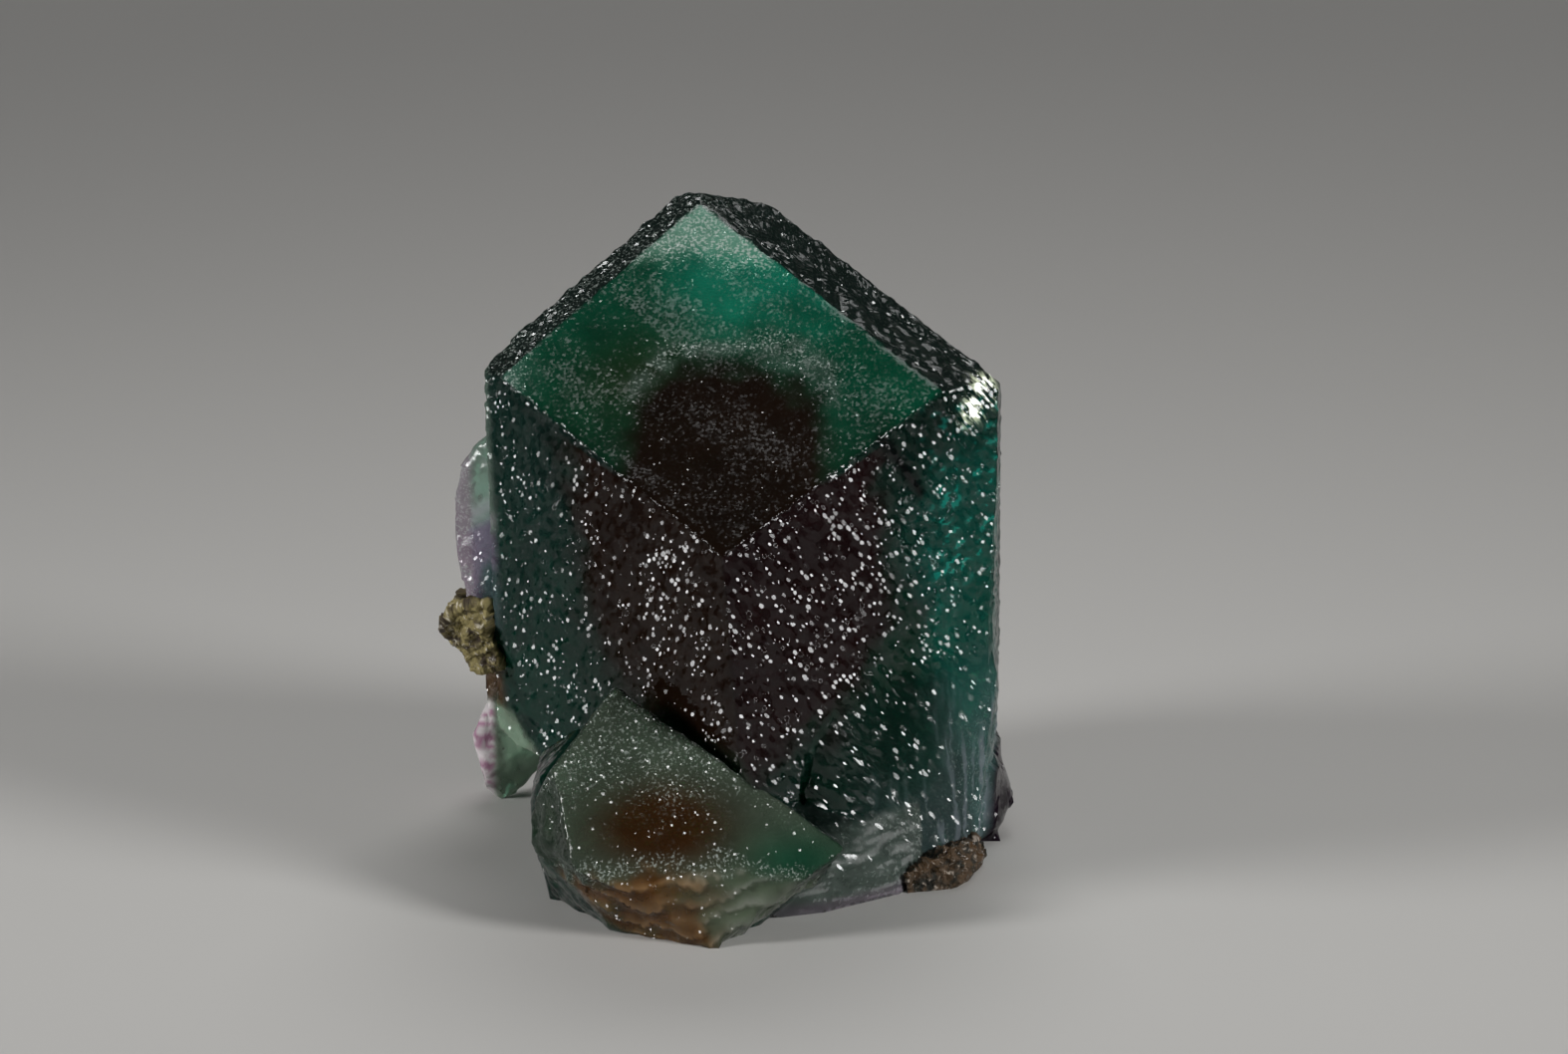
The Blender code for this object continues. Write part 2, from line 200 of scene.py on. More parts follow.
def softening(s):
    """Where edges of the plain solid are rounded off, from 0 to 1."""
    x, y, z = s.points.T
    swelling = step(1.5, 3.0, s.a) * step(-11, -13, s.c) * step(1.6, 0.8, s.b) * step(1.0, 2.2, z)
    depth = (s.points - LOWER_CORNER) @ LOWER_FRONT
    swelling = swelling * step(-0.2, -0.9, depth)
    off_floor = step(0.0, 0.5, z)
    rounded = np.maximum(0.06, 0.8 * dark_crystal(s.points))
    rounded = np.maximum(rounded, 0.25 * lower_crystal(s.points) * step(4.0, 2.5, z))
    return np.maximum(swelling, rounded * off_floor)


def along_line(s, start, end, width):
    """1 on the line between two places, falling to 0 beside it."""
    way = end - start
    part = np.clip((s.points - start) @ way / (way @ way), 0, 1)
    off = np.linalg.norm(s.points - start - part[:, None] * way, axis=1)
    return np.exp(-((off / width) ** 2))


def in_crystal(a, b, c):
    """A place given along the main crystal's own axes."""
    return NEAR_CORNER + a * A + b * B + c * C


def upper_edges(s, width):
    """1 on the two edges of the top face that meet at the near corner, 0 away from them."""
    corner = in_crystal(0.0, 0.0, 0.0)
    left = along_line(s, corner, in_crystal(0.0, 17.2, 0.0), width)
    right = along_line(s, corner, in_crystal(17.2, 0.0, 0.0), width)
    return np.maximum(left, right)


def dark_crystal(points):
    """1 on the dark rounded crystal behind the right of the foot."""
    x, y, z = points.T
    return step(12.3, 13.0, x) * step(3.45, 4.05, y) * step(4.4, 3.9, z)


def base_rings(s, wander):
    """0 to 1 across each of the curved ribs on the broken base of the lower crystal."""
    centre = np.array((-3.5, -12.5, 9.0))
    rings = np.linalg.norm((s.points - centre) * (0.8, 1.0, 1.0), axis=1) + 0.8 * wander
    return np.abs((rings / 0.9) % 1.0 - 0.3) / 0.7


def relief(s, zones, wander, fine):
    """How far each point moves outwards, in millimetres."""
    x, y, z = s.points.T
    across = (s.a + s.b) * math.cos(LEDGE_ANGLE) + s.c * math.sin(LEDGE_ANGLE)
    phase = across / 1.1 + 0.8 * wander
    ledge = np.abs((phase % 1.0) - 0.35) - 0.35
    grain = fractal(s.points, 0.7, 5, 2)
    sides = np.maximum(zones["left"], zones["right"])
    amount = sides * (0.20 * ledge * step(-0.3, 0.3, fine + 0.2) + 0.05 * grain)
    amount = amount + 0.006 * zones["top"] * grain
    dark = dark_crystal(s.points)
    other = (1 - sides) * (1 - zones["top"]) * (1 - dark)
    amount = amount * (1 - dark) + 0.40 * dark
    amount = amount + other * (0.07 + 0.08 * zones["bevel"]) * grain
    amount = amount + 0.10 * upper_edges(s, 0.35) * fractal(s.points, 0.45, 19, 2)
    # The lower crystal is worn, and its broken base has curved ribs
    lower = lower_crystal(s.points)
    base = lower * step(4.4, 3.4, z + 0.5 * wander)
    ribs = 0.22 * base_rings(s, wander) - 0.1
    amount = amount + lower * 0.12 * wander + base * (ribs + 0.10 * fine)
    return amount * step(0.1, 1.0, z)


crystals = refined("crystals", "fluorite_crystals", front_size)
surface = Surface(crystals.data)
kinds, zones = crystal_zones(surface)
keep_points(crystals.data, smoothed(surface, softening(surface), 60))
surface = Surface(crystals.data)
wander = fractal(surface.points, 3.5, 1)
fine = fractal(surface.points, 1.2, 2, 2)
moved = surface.points + surface.normals * relief(surface, zones, wander, fine)[:, None]
keep_points(crystals.data, moved)


def store(mesh, name, values):
    """Keeps one value or one colour for each point, for the materials to read."""
    values = np.asarray(values, np.float32)
    if values.ndim == 1:
        mesh.attributes.new(name, "FLOAT", "POINT").data.foreach_set("value", values)
    else:
        alpha = np.ones((len(values), 1), np.float32)
        colours = np.hstack([values, alpha]).ravel()
        mesh.attributes.new(name, "FLOAT_COLOR", "POINT").data.foreach_set("color", colours)


def blend(under, over, amount):
    return under * (1 - amount[:, None]) + over * amount[:, None]


def mix(under, over, amount):
    amount = np.asarray(amount)[:, None]
    return under * (1 - amount) + np.asarray(over) * amount


def blob(s, place, radii, power=1.0):
    """1 at a place, falling to 0 at about twice the radii around it."""
    distance = (((s.points - place) / radii) ** 2).sum(axis=1)
    return np.exp(-(distance ** power))


def core_reach(s, wander, fine):
    """Below 1 in the dark core under the near corner, a cube with rounded edges that shows
    through the top face as a narrower arch."""
    sides = (np.maximum(s.a, 0) / 11.2, np.maximum(s.b, 0) / 11.6, np.maximum(-s.c, 0) / 19.5)
    cube = sum(side ** 5 for side in sides) ** 0.2
    arch = ((np.abs(s.a - s.b) / 7.6) ** 4 + (np.maximum(s.a + s.b, 0) / 19.0) ** 4) ** 0.25
    on_top = step(-0.6, -0.2, s.c)
    return cube * (1 - on_top) + arch * on_top + 0.07 * wander + 0.03 * fine


def crystal_colours(s, zones, wander, fine):
    """The tint of each point and how hazy it is."""
    a, b, c = s.a, s.b, s.c
    x, y, z = s.points.T
    count = len(a)

    tint = np.tile(np.array((0.006, 0.085, 0.055)), (count, 1))
    haze = np.full(count, 0.10)

    # The top face: emerald, brighter towards the apex as a painted glow of light passing through the
    # crystal there and darker towards the near corner, olive to the left, pale under the apex and at the
    # left corner
    emerald = mix(
        np.tile((0.004, 0.15, 0.075), (count, 1)),
        (0.014, 0.38, 0.23),
        step(18, 25, a + b + 2 * wander) * step(-2, 3, a - b + 5),
    )
    emerald = mix(emerald, (0.008, 0.062, 0.030), step(15.5, 9.0, a + b + 1.5 * wander) * 0.8)
    olive = np.exp(-(((a - 4.6) / 4.0) ** 2 + ((b - 11.8) / 3.0) ** 2))
    emerald = mix(emerald, (0.022, 0.050, 0.012), olive * 0.85)
    pale = step(26.0, 28.6, a + b + 0.8 * wander) * step(5.0, 1.0, a - b + wander)
    emerald = mix(emerald, (0.15, 0.28, 0.21), pale * 0.8)
    corner = step(12.6, 15.8, b - a + wander)
    emerald = mix(emerald, (0.12, 0.24, 0.19), corner * 0.8)
    tint = blend(tint, emerald, zones["top"])
    haze = haze + zones["top"] * (0.16 + 0.40 * pale + 0.35 * corner)

    # The sides: dark green at the left, teal to the right with painted teal glints on the right face,
    # pale and hazy at the lower right
    rim = zones["left"] * step(10.5, 14.5, b + wander)
    tint = mix(tint, (0.006, 0.040, 0.030), zones["left"])
    tint = mix(tint, (0.010, 0.048, 0.036), rim * np.clip(0.8 + 0.5 * fine, 0, 1))
    haze = haze + 0.10 * zones["left"] + 0.20 * rim
    teal = step(11.0, 14.5, a + wander) * step(-1.0, -9.0, c + 2 * wander)
    tint = mix(tint, (0.008, 0.17, 0.125), zones["right"] * teal)
    # Painted glints: small bright teal patches on the right face
    painted_teal_glints = step(0.22, 0.5, fractal(s.points * (1.0, 1.0, 1.4), 0.75, 9, 2))
    painted_teal_glints = painted_teal_glints * step(12.8, 14.2, a) * step(-18, -14, c) * zones["right"]
    tint = mix(tint, (0.02, 0.42, 0.33), painted_teal_glints * 0.5)
    haze = haze + 0.3 * painted_teal_glints + 0.16 * zones["right"] * teal
    low = step(-20.0, -27.0, c + 1.5 * wander) * step(4.0, 9.0, x) * step(3.0, 1.0, b)
    streaks = step(0.35, 0.75, fractal(s.points * (1.6, 1.6, 0.25), 1.1, 7, 2) + 0.3)
    tint = mix(tint, (0.16, 0.19, 0.21), low * (0.50 + 0.45 * streaks))
    haze = haze + low * (0.25 + 0.35 * streaks)

    reach = core_reach(s, wander, fine)
    core = step(1.12 + 0.10 * zones["top"], 0.86 - 0.06 * zones["top"], reach)
    tint = mix(tint, (0.009, 0.0045, 0.0025), core)
    tint = mix(tint, (0.015, 0.006, 0.003), core * zones["left"] * 0.8)
    tint = mix(tint, (0.015, 0.004, 0.005), core * zones["right"] * 0.8)
    haze = haze * (1 - 0.3 * core) + 0.50 * core
    frost = np.exp(-(((reach - 1.02) / 0.06) ** 2)) * zones["top"] * step(0.1, 0.5, fine + 0.4)
    tint = mix(tint, (0.14, 0.20, 0.17), frost * step(12.5, 16.0, a + b) * 0.35)

    tint = mix(tint, (0.022, 0.034, 0.030), zones["bevel"] * 0.9)
    haze = haze + 0.15 * zones["bevel"]
    crack = along_line(s, in_crystal(10.6, 0, 0.1), in_crystal(13.0, 0, -6.3), 0.35)
    tint = mix(tint, (0.003, 0.006, 0.006), crack)

    # The lower crystal: grey-green, with a brown middle, a green patch and an amber base
    lower = lower_crystal(s.points)
    frosted = np.tile((0.095, 0.130, 0.090), (count, 1))
    brown = np.exp(-((((x + 3.2) / 3.6) ** 2 + ((z - 5.9) / 1.9) ** 2) ** 1.5))
    patch = np.exp(-(((x - 3.6) / 3.0) ** 2 + ((z - 4.4) / 1.3) ** 2))
    amber = step(4.9, 3.6, z + 0.035 * (x + 2.0) ** 2 + 0.7 * wander + 0.4 * fine)
    frosted = mix(frosted, (0.010, 0.10, 0.050), patch * 0.9)
    frosted = mix(frosted, (0.014, 0.040, 0.022), step(0.75, 0.55, s.normals @ LOWER_FRONT) * 0.8)
    frosted = mix(frosted, (0.070, 0.028, 0.007), np.clip(brown * 1.15, 0, 1))
    folds = base_rings(s, wander)
    honey = mix(np.tile((0.09, 0.036, 0.008), (count, 1)), (0.34, 0.20, 0.09), folds ** 2)
    honey = mix(honey, (0.05, 0.055, 0.025), step(0.0, 0.6, fine) * 0.6)
    ash = mix(np.tile((0.10, 0.13, 0.08), (count, 1)), (0.36, 0.38, 0.32), folds ** 2)
    to_right = step(-2.5, 2.0, x + 1.5 * wander)
    frosted = blend(frosted, honey, amber * (1 - to_right))
    frosted = blend(frosted, ash, amber * to_right * 0.75)
    tint = blend(tint, frosted, lower)
    haze = haze * (1 - lower) + lower * np.clip(0.42 + 0.20 * amber - 0.1 * brown, 0, 1)

    # The clear slab at the lower right
    slab = step(3.4, 2.6, z - 0.12 * x) * step(0.5, 2.0, x) * step(-9.95, -8.45, y)
    slab = slab * (y < -2.45) * (1 - lower)
    veins = step(0.0, 0.5, fractal(s.points * (0.4, 0.4, 2.5), 1.0, 17, 2))
    tint = mix(tint, (0.24, 0.32, 0.27), slab * 0.8)
    tint = mix(tint, (0.45, 0.46, 0.45), slab * veins * 0.7)
    tint = mix(tint, (0.34, 0.24, 0.34), slab * step(0.9, 0.3, z) * 0.6)
    haze = haze * (1 - slab) + (0.22 + 0.25 * veins) * slab

    # The small crystals at the left and the dark one at the right
    side = step(-11.6, -12.2, x) * step(11.0, 11.6, z)
    height = z - 0.6 * (x + 12.5) + 0.3 * wander
    banded = np.tile((0.36, 0.50, 0.41), (count, 1))
    banded = mix(banded, (0.34, 0.25, 0.38), step(18.0, 17.2, height))
    banded = mix(banded, (0.66, 0.66, 0.68), np.exp(-(((height - 18.4) / 0.45) ** 2)))
    banded = mix(banded, (0.10, 0.16, 0.17), step(15.8, 14.6, height) * step(-13.2, -12.6, x))
    banded = mix(banded, (0.62, 0.50, 0.60), step(-13.0, -13.5, x) * 0.8)
    tint = blend(tint, banded, side)
    haze = haze * (1 - side) + 0.34 * side
    neck = step(-11.6, -12.2, x) * step(9.2, 8.8, z) * step(5.0, 5.6, z)
    tint = mix(tint, (0.16, 0.09, 0.05), neck)
    pale_one = step(-9.6, -10.2, x) * step(6.2, 5.6, z) * step(8.55, 9.85, y)
    tint = mix(tint, (0.44, 0.56, 0.42), pale_one)
    # The flake is painted white and pink in stripes: painted glints on it
    flake = step(-12.3, -12.7, x) * pale_one
    stripes = step(-0.2, 0.4, fractal(s.points * (1.0, 1.0, 3.0), 1.0, 15, 2))
    tint = blend(tint, mix(np.tile((0.85, 0.78, 0.80), (count, 1)), (0.50, 0.25, 0.38), stripes), flake)
    haze = haze * (1 - pale_one) + (0.35 + 0.4 * flake) * pale_one
    tint = mix(tint, (0.016, 0.008, 0.016), dark_crystal(s.points))

    tint = tint * (1 + 0.20 * wander + 0.16 * fine)[:, None]
    return np.clip(tint, 0.001, 1.0), np.clip(haze, 0.0, 0.95)


def frosting(s, zones, wander, fine):
    """How densely each point is sprinkled with white frost, from 0 to 1."""
    a, b = s.a, s.b
    x, y, z = s.points.T
    apex = zones["top"] * step(25.2, 27.6, a + b + 1.2 * wander + 0.6 * fine)
    apex = apex * step(6.0, 1.5, a - b + wander)
    corner = zones["top"] * step(12.4, 15.5, b - a + wander + 0.4 * fine)
    reach = core_reach(s, wander, fine)
    arc = zones["top"] * np.exp(-(((reach - 1.02) / 0.05) ** 2)) * step(13.0, 16.5, a + b)
    lower = lower_crystal(s.points)
    worn = lower * step(4.5, 8.5, z + 0.8 * wander)
    seam = z + 0.035 * (x + 2.0) ** 2 + 0.7 * wander + 0.4 * fine
    rim = lower * np.exp(-(((seam - 4.6) / 0.45) ** 2))
    side = step(-13.0, -13.4, x) * step(11.0, 11.6, z)
    foot = step(3.4, 2.6, z - 0.12 * x) * step(0.5, 2.0, x) * (1 - lower)
    pale = step(-20.0, -27.0, s.c + 1.5 * wander) * step(4.0, 9.0, x) * step(3.0, 1.0, b)
    total = 0.45 * apex + 0.35 * corner + 0.30 * arc + 0.22 * worn + 0.34 * rim
    total = total + zones["bevel"] * (0.10 + 0.20 * step(-3.0, 3.0, b - a))
    total = total + 0.35 * side + 0.12 * foot * (y < -2.45) + 0.14 * pale
    return np.clip(total * (1 - dark_crystal(s.points)), 0, 1)


def highlight_facet(s):
    """1 on the bright facet at the upper right corner, where a highlight is painted in pale streaks."""
    return blob(s, in_crystal(17.2, 0.0, -2.7), (1.2, 1.8, 1.9), 3) * step(1.0, 0.4, s.b)


def bright_stripes(s):
    """1 where bright parallel stripes cross the left side, near the near corner."""
    return along_line(s, in_crystal(0.0, 3.0, -2.2), in_crystal(0.0, 6.0, -6.2), 0.9) * (s.a < 1)


class Nodes:
    """Short calls that build a material's node tree."""

    def __init__(self, name):
        self.material = bpy.data.materials.new(name)
        self.material.use_nodes = True
        self.tree = self.material.node_tree
        self.tree.nodes.clear()

    def add(self, kind, inputs=(), **settings):
        node = self.tree.nodes.new(kind)
        for key, value in settings.items():
            setattr(node, key, value)
        for key, value in dict(inputs).items():
            if isinstance(value, bpy.types.NodeSocket):
                self.tree.links.new(value, node.inputs[key])
            else:
                node.inputs[key].default_value = value
        return node

    def value(self, name):
        return self.add("ShaderNodeAttribute", attribute_name=name).outputs["Fac"]

    def colour(self, name):
        return self.add("ShaderNodeAttribute", attribute_name=name).outputs["Color"]

    def vector(self, name):
        return self.add("ShaderNodeAttribute", attribute_name=name).outputs["Vector"]

    def math(self, operation, one, two=0.0, extra=0.0, clamp=False):
        inputs = {0: one, 1: two, 2: extra}
        node = self.add("ShaderNodeMath", inputs, operation=operation, use_clamp=clamp)
        return node.outputs[0]

    def mixed(self, factor, one, two):
        inputs = {"Factor": factor, 6: one, 7: two}
        return self.add("ShaderNodeMix", inputs, data_type="RGBA").outputs[2]

    def ramp(self, value, low, high, to_low=0.0, to_high=1.0):
        inputs = {"Value": value, "From Min": low, "From Max": high, "To Min": to_low, "To Max": to_high}
        return self.add("ShaderNodeMapRange", inputs, interpolation_type="SMOOTHSTEP").outputs[0]

    def vectors(self, operation, one, two=(0.0, 0.0, 0.0)):
        return self.add("ShaderNodeVectorMath", {0: one, 1: two}, operation=operation).outputs[0]

    def scaled(self, vector, scale):
        node = self.add("ShaderNodeVectorMath", {0: vector, "Scale": scale}, operation="SCALE")
        return node.outputs[0]

    def noise(self, vector, scale, detail=3.0, roughness=0.55, distortion=0.0):
        inputs = {
            "Vector": vector,
            "Scale": scale,
            "Detail": detail,
            "Roughness": roughness,
            "Distortion": distortion,
        }
        return self.add("ShaderNodeTexNoise", inputs).outputs["Fac"]


def fluorite_material():
    """Dark tinted crystal, partly see-through, with an etched skin of tiny leaning facets."""
    n = Nodes("green_fluorite")
    # White frost in fine specks, and a highlight painted in pale streaks on the bright facet, where the
    # coat also shines
    frost = n.value("frost")
    grain = n.noise(n.vector("place"), 6.5, 2.0, 0.65)
    specks = n.ramp(n.math("MULTIPLY_ADD", frost, 0.27, grain), 0.58, 0.76)
    specks = n.math("MULTIPLY", specks, n.ramp(frost, 0.0, 0.3, 0.0, 0.8))
    along = n.vectors("MULTIPLY", n.vector("cell_place"), (0.75, 0.22, 0.22))
    streaks = n.ramp(n.noise(along, 1.0, 2.0, 0.6), 0.44, 0.55)
    streaks = n.math("MULTIPLY", streaks, n.value("bright"))
    pale = n.mixed(specks, n.colour("tint"), (0.36, 0.40, 0.37, 1.0))
    # Painted highlight: pale yellowish-green streaks on the bright facet
    pale = n.mixed(streaks, pale, (0.80, 0.88, 0.62, 1.0))
    haze = n.math("MULTIPLY_ADD", specks, 0.5, n.value("haze"))
    haze = n.math("ADD", haze, streaks, clamp=True)
    voronoi = n.add(
        "ShaderNodeTexVoronoi",
        {"Vector": n.vector("cell_place"), "Scale": 1.0, "Randomness": 0.7},
        feature="F1",
    )
    parts = n.add("ShaderNodeSeparateColor", {"Color": voronoi.outputs["Color"]})
    draw = n.math("FRACT", n.math("MULTIPLY", parts.outputs[0], 17.0))
    chosen = n.math("LESS_THAN", draw, n.value("sparkle"))
    reach = n.math("MULTIPLY_ADD", parts.outputs[1], 0.36, extra=0.20)
    inside = n.ramp(n.math("SUBTRACT", voronoi.outputs["Distance"], reach), 0.05, -0.07)
    facet = n.math("MULTIPLY", chosen, inside)
    strength = n.math("MULTIPLY_ADD", n.math("POWER", parts.outputs[2], 1.5), 0.88, extra=0.12)
    gloss = n.math("MULTIPLY", facet, strength)
    facet = n.math("MAXIMUM", facet, streaks)
    gloss = n.math("MAXIMUM", gloss, streaks)
    random = n.vectors("SUBTRACT", voronoi.outputs["Color"], (0.5, 0.5, 0.5))
    random = n.scaled(random, n.value("unrest"))
    level = n.add("ShaderNodeNewGeometry").outputs["Normal"]
    turn = n.vectors("SUBTRACT", n.vector("facing"), level)
    skin = n.vectors("ADD", n.vectors("ADD", level, random), n.scaled(turn, facet))
    skin = n.vectors("NORMALIZE", skin)
    under = n.vectors("ADD", level, n.scaled(turn, n.value("tip")))
    under = n.vectors("NORMALIZE", n.vectors("ADD", under, n.scaled(random, 0.7)))
    shader = n.add(
        "ShaderNodeBsdfPrincipled",
        {
            "Base Color": pale,
            "Roughness": 0.16,
            "IOR": 1.434,
            "Specular IOR Level": 0.13,
            "Transmission Weight": n.math("SUBTRACT", 1.0, haze, clamp=True),
            "Normal": under,
            "Coat Weight": gloss,
            "Coat Roughness": 0.06,
            "Coat IOR": 1.5,
            "Coat Normal": skin,
        },
    )
    depth = n.add(
        "ShaderNodeVolumeAbsorption",
        {"Color": (0.30, 0.78, 0.66, 1.0), "Density": 300.0},
    )
    n.add(
        "ShaderNodeOutputMaterial",
        {"Surface": shader.outputs[0], "Volume": depth.outputs[0]},
    )
    return n.material


def rock_material(name, dark, middle, light):
    """Mottled rock with fine dull grains and a few small faces that glitter."""
    n = Nodes(name)
    place = n.vector("place")
    spots = n.noise(place, 1.2, 5.0, 0.65)
    specks = n.noise(place, 3.2, 3.0, 0.6)
    under = n.mixed(n.ramp(spots, 0.38, 0.58), (*dark, 1.0), (*middle, 1.0))
    colour = n.mixed(n.ramp(specks, 0.56, 0.68), under, (*light, 1.0))
    grains = n.add("ShaderNodeTexVoronoi", {"Vector": place, "Scale": 4.5}, feature="F1")
    height = n.math("MULTIPLY_ADD", grains.outputs["Distance"], 0.5, specks)
    bump = n.add("ShaderNodeBump", {"Strength": 1.0, "Distance": 0.18 * MM, "Height": height})
    chance = n.add("ShaderNodeSeparateColor", {"Color": grains.outputs["Color"]}).outputs[0]
    shader = n.add(
        "ShaderNodeBsdfPrincipled",
        {
            "Base Color": colour,
            "Roughness": n.ramp(chance, 0.70, 0.82, 0.75, 0.18),
            "Normal": bump.outputs[0],
        },
    )
    n.add("ShaderNodeOutputMaterial", {"Surface": shader.outputs[0]})
    return n.material


def store_vectors(mesh, name, vectors, domain="POINT"):
    layer = mesh.attributes.new(name, "FLOAT_VECTOR", domain)
    layer.data.foreach_set("vector", np.asarray(vectors, np.float32).ravel())


COS, SIN = math.cos(LEDGE_ANGLE), math.sin(LEDGE_ANGLE)
LEFT_ACROSS, LEFT_ALONG = B * COS + C * SIN, C * COS - B * SIN
RIGHT_ACROSS, RIGHT_ALONG = A * COS + C * SIN, C * COS - A * SIN
LEFT_FACET = (1.3 * C - A) / np.linalg.norm(1.3 * C - A)
RIGHT_FACET = (1.3 * C - B) / np.linalg.norm(1.3 * C - B)
# For each kind of face: two directions in it, the pitch of its cells along them, how uneven the
# facets are, the share of the cells that has a facet, and how far the whole skin is tipped
ETCHING = {
    "top": (A, B, 0.13, 0.13, 0.21, 0.025, 0.0),
    "left": (LEFT_ACROSS, LEFT_ALONG, 0.23, 0.62, 0.32, 0.80, 0.6),
    "right": (RIGHT_ACROSS, RIGHT_ALONG, 0.23, 0.68, 0.32, 0.90, 0.6),
    "bevel": (A, B, 0.36, 0.36, 0.18, 0.55, 0.6),
    "lower": (A, B, 0.18, 0.18, 0.40, 0.30, 0.0),
    "back": (A, C, 0.40, 0.60, 0.50, 0.35, 0.0),
}


def etching(s, kinds):
    """For each corner of the mesh: its place among the cells, the way its facets look, how uneven
    they are, their share, and how far the skin between them is tipped the same way."""
    place = (s.points / 0.35)[s.faces]
    facing = np.repeat(s.face_normals[:, None, :], 3, axis=1)
    unrest = np.full(s.faces.shape, 0.25)
    share = np.full(s.faces.shape, 0.1)
    tip = np.zeros(s.faces.shape)
    to_left = (s.centres - NEAR_CORNER) @ (A - B) < 0
    for kind, (one, two, pitch_one, pitch_two, wobble, part, lean) in ETCHING.items():
        here = kinds[kind]
        third = np.cross(one, two)
        cells = np.stack(
            [s.points @ one / pitch_one, s.points @ two / pitch_two, s.points @ third / pitch_two],
            axis=1,
        )
        place[here] = cells[s.faces[here]]
        if kind != "back":
            facing[here & to_left] = LEFT_FACET
            facing[here & ~to_left] = RIGHT_FACET
        unrest[here] = wobble
        share[here] = part
        tip[here] = lean
    unrest = unrest + 0.7 * upper_edges(s, 0.3)[s.faces]
    unrest = unrest * (1 - 0.85 * highlight_facet(s) - 0.6 * bright_stripes(s))[s.faces]
    return place, facing, unrest, share, tip


def sparkle(s, zones, wander, fine):
    """How much more or less each point glitters than its kind of face does in general."""
    a, b, c = s.a, s.b, s.c
    amount = np.clip(0.85 + 0.9 * wander + 1.1 * fine, 0.1, 2.0)
    left_edge = zones["left"] * step(-0.9, -0.2, c) * step(11, 9, b)
    stripes = blob(s, in_crystal(0, 4.5, -4.4), (1.9, 1.9, 1.9), 2)
    crack = along_line(s, in_crystal(10.6, 0, 0.1), in_crystal(13.0, 0, -6.3), 0.45)
    corner = zones["top"] * step(12.0, 15.5, b - a + wander)
    apex = zones["top"] * step(24.5, 27.5, a + b + wander)
    rim = zones["top"] * np.exp(-(((core_reach(s, wander, fine) - 1.0) / 0.09) ** 2))
    rim = rim * step(11.0, 15.0, a + b)
    shine = blob(s, in_crystal(17.2, 0.6, -1.6), (1.6, 2.4, 2.6), 2)
    amount = amount + 1.0 * left_edge + 1.0 * stripes + 12 * corner + 9 * apex + 8 * rim
    lower = lower_crystal(s.points)
    lower_top = lower * step(5.0, 9.0, s.points[:, 2] + 0.8 * wander)
    spot = blob(s, np.array((-7.7, -11.8, 6.9)), (0.7, 1.5, 1.0), 2)
    core = zones["right"] * step(1.1, 0.9, core_reach(s, wander, fine))
    to_left = step(-3.0, 3.0, b - a)
    amount = amount + zones["bevel"] * (0.1 + 0.5 * to_left)
    amount = amount + 0.45 * core + 1.6 * lower_top + 3.0 * spot + 4.0 * shine
    return amount * (1 - 0.9 * crack)


tint, haze = crystal_colours(surface, zones, wander, fine)
mesh = crystals.data
store(mesh, "tint", tint)
store(mesh, "haze", haze)
store(mesh, "frost", frosting(surface, zones, wander, fine))
# Where the highlight is painted in pale streaks on the bright facet
store(mesh, "bright", highlight_facet(surface))
store_vectors(mesh, "place", surface.points)
cell_place, facing, unrest, share, tip = etching(surface, kinds)
share = share * sparkle(surface, zones, wander, fine)[surface.faces]
store_vectors(mesh, "cell_place", cell_place, "CORNER")
store_vectors(mesh, "facing", facing, "CORNER")
for name, values in (("unrest", unrest), ("sparkle", share), ("tip", tip)):
    layer = mesh.attributes.new(name, "FLOAT", "CORNER")
    layer.data.foreach_set("value", values.astype(np.float32).ravel())
mesh.materials.clear()
mesh.materials.append(fluorite_material())
mesh.shade_smooth()
mesh.set_sharp_from_angle(angle=math.radians(24))

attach(crystals, "root")
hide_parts("fluorite_crystals")

def make_rock(node, slot, lump, swell, colours):
    """A crumb of rock, lumpy at two scales, that reaches the crystals it sits on."""
    rock = refined(node + "_crumb", node, lambda edge: 0.17)
    plain = Surface(rock.data)
    lumps = fractal(plain.points, lump, 11, 4)
    growth = (swell + 0.30 * lumps) * step(0.0, 0.7, plain.points[:, 2])
    keep_points(rock.data, plain.points + plain.normals * growth[:, None])
    store_vectors(rock.data, "place", plain.points)
    rock.data.materials.clear()
    rock.data.materials.append(rock_material(slot, *colours))
    rock.data.shade_smooth()
    rock.data.set_sharp_from_angle(angle=math.radians(40))
    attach(rock, "root")
    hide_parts(node)


make_rock(
    "left_rock",
    "olive_rock",
    0.9,
    0.28,
    ((0.035, 0.022, 0.010), (0.30, 0.25, 0.10), (0.62, 0.56, 0.44)),
)
make_rock(
    "right_rock",
    "brown_rock",
    0.55,
    0.12,
    ((0.012, 0.012, 0.007), (0.085, 0.050, 0.024), (0.40, 0.34, 0.28)),
)


# Floor, lights and camera


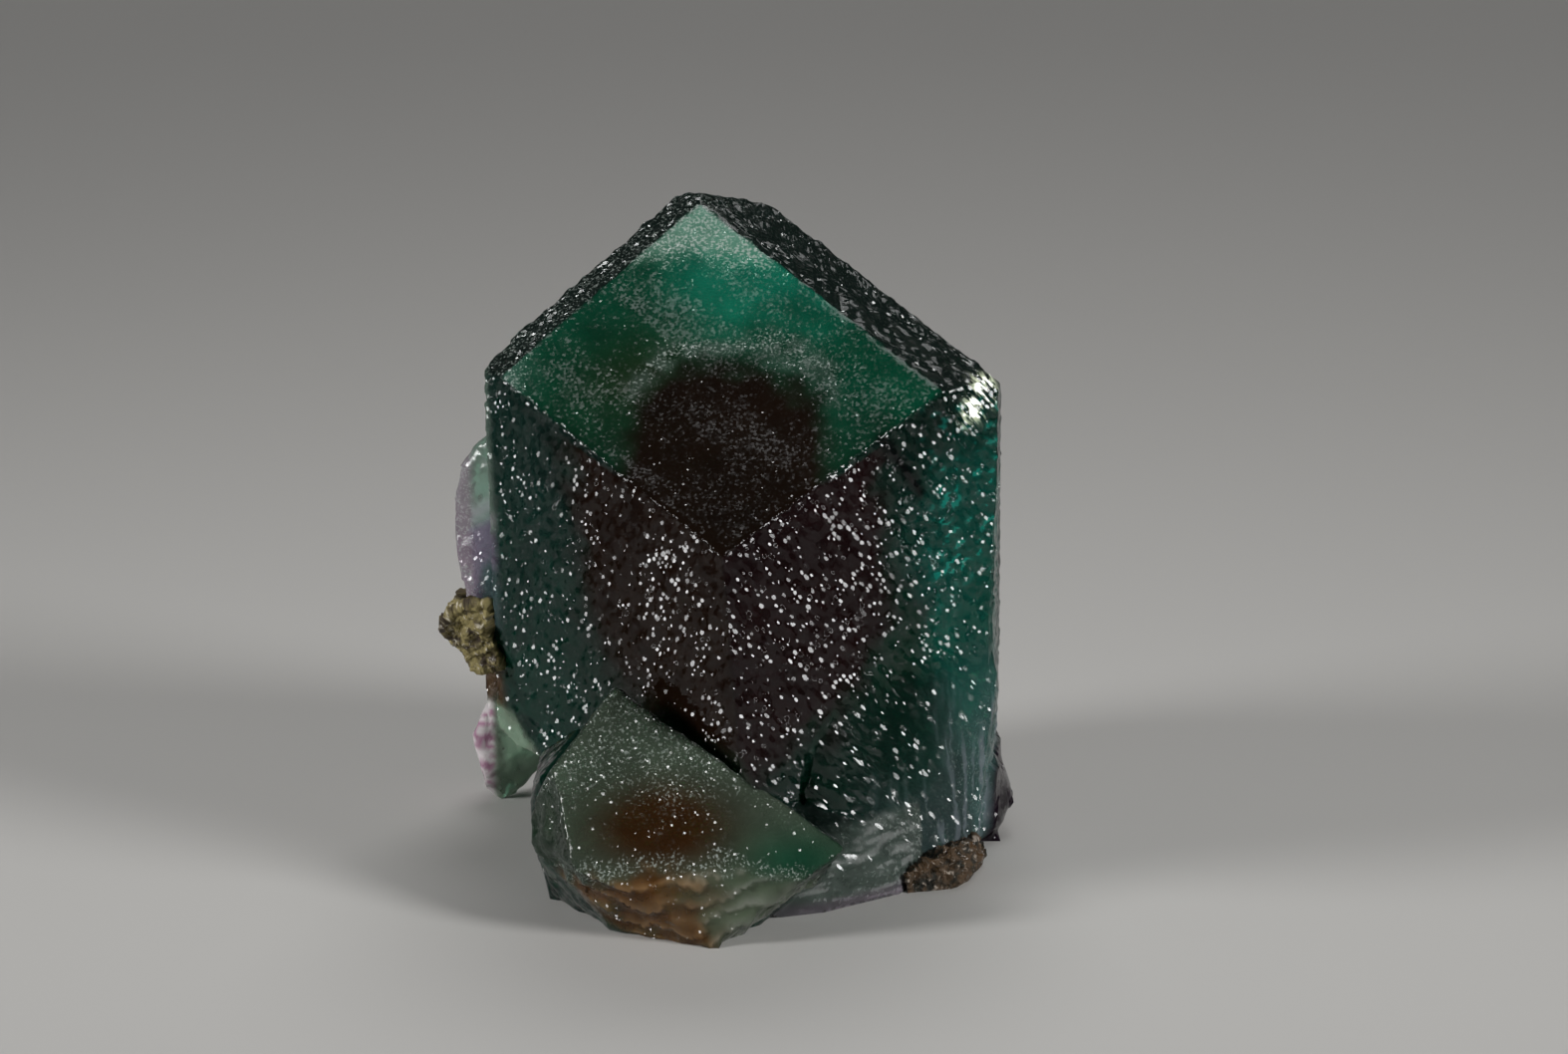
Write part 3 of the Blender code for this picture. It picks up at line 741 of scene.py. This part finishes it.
def make_floor():
    """A pale sheet that curves up far behind the specimen."""
    profile = [(-0.9, 0.0), (0.25, 0.0)]
    profile += [
        (0.25 + 0.35 * math.sin(t), 0.35 * (1 - math.cos(t)))
        for t in (math.radians(6 * k) for k in range(1, 16))
    ]
    profile.append((0.60, 1.2))
    bm = bmesh.new()
    rows = [[bm.verts.new((x, y, z)) for x in (-1.3, 1.3)] for y, z in profile]
    for near, far in zip(rows, rows[1:]):
        bm.faces.new((near[0], near[1], far[1], far[0]))
    mesh = bpy.data.meshes.new("floor")
    bm.to_mesh(mesh)
    bm.free()
    mesh.shade_smooth()
    floor = bpy.data.objects.new("floor", mesh)
    bpy.context.scene.collection.objects.link(floor)
    n = Nodes("floor")
    shader = n.add(
        "ShaderNodeBsdfPrincipled", {"Base Color": (0.55, 0.54, 0.52, 1.0), "Roughness": 0.6}
    )
    n.add("ShaderNodeOutputMaterial", {"Surface": shader.outputs[0]})
    mesh.materials.append(n.material)


def area_light(name, place, target, size, power, spread=180.0):
    light = bpy.data.lights.new(name, "AREA")
    light.shape = "DISK"
    light.size = size
    light.energy = power
    light.spread = math.radians(spread)
    obj = bpy.data.objects.new(name, light)
    obj.location = place
    obj.rotation_euler = (Vector(target) - Vector(place)).to_track_quat("-Z", "Y").to_euler()
    bpy.context.scene.collection.objects.link(obj)


make_floor()
MIDDLE = (0.0, 0.0, 0.018)
area_light("left_soft", (-0.318, -0.166, 0.168), MIDDLE, 0.12, 0.080, 50.0)
area_light("right_soft", (0.270, -0.225, 0.190), MIDDLE, 0.12, 0.080, 50.0)
area_light("top_soft", (0.05, 0.22, 0.50), MIDDLE, 0.35, 0.75)

world = bpy.data.worlds.new("studio")
world.use_nodes = True
world.node_tree.nodes["Background"].inputs["Color"].default_value = (0.75, 0.77, 0.80, 1.0)
world.node_tree.nodes["Background"].inputs["Strength"].default_value = 0.05
bpy.context.scene.world = world

# The camera looks down by 14 degrees, from the distance that the photograph's perspective gives
ELEVATION = math.radians(14)
LENS, SENSOR, FRAME_WIDTH = 150.0, 36.0, 1574
SCALE = 0.05
towards = Vector((0, -math.cos(ELEVATION), math.sin(ELEVATION)))
upwards = Vector((0, math.sin(ELEVATION), math.cos(ELEVATION)))
distance = SCALE * LENS / SENSOR * FRAME_WIDTH
target = Vector(NEAR_CORNER) + Vector((2.95, 0, 0)) + 1.55 * upwards - 14.0 * towards
camera = bpy.data.cameras.new("camera")
camera.lens = LENS
camera.sensor_width = SENSOR
camera.clip_start = 0.01
camera_object = bpy.data.objects.new("camera", camera)
camera_object.location = (target + distance * towards) * MM
camera_object.rotation_euler = (math.radians(90) - ELEVATION, 0, 0)
bpy.context.scene.collection.objects.link(camera_object)
bpy.context.scene.camera = camera_object
bpy.context.scene.view_settings.view_transform = "Standard"
bpy.context.scene.cycles.transmission_bounces = 6
bpy.context.scene.cycles.max_bounces = 8
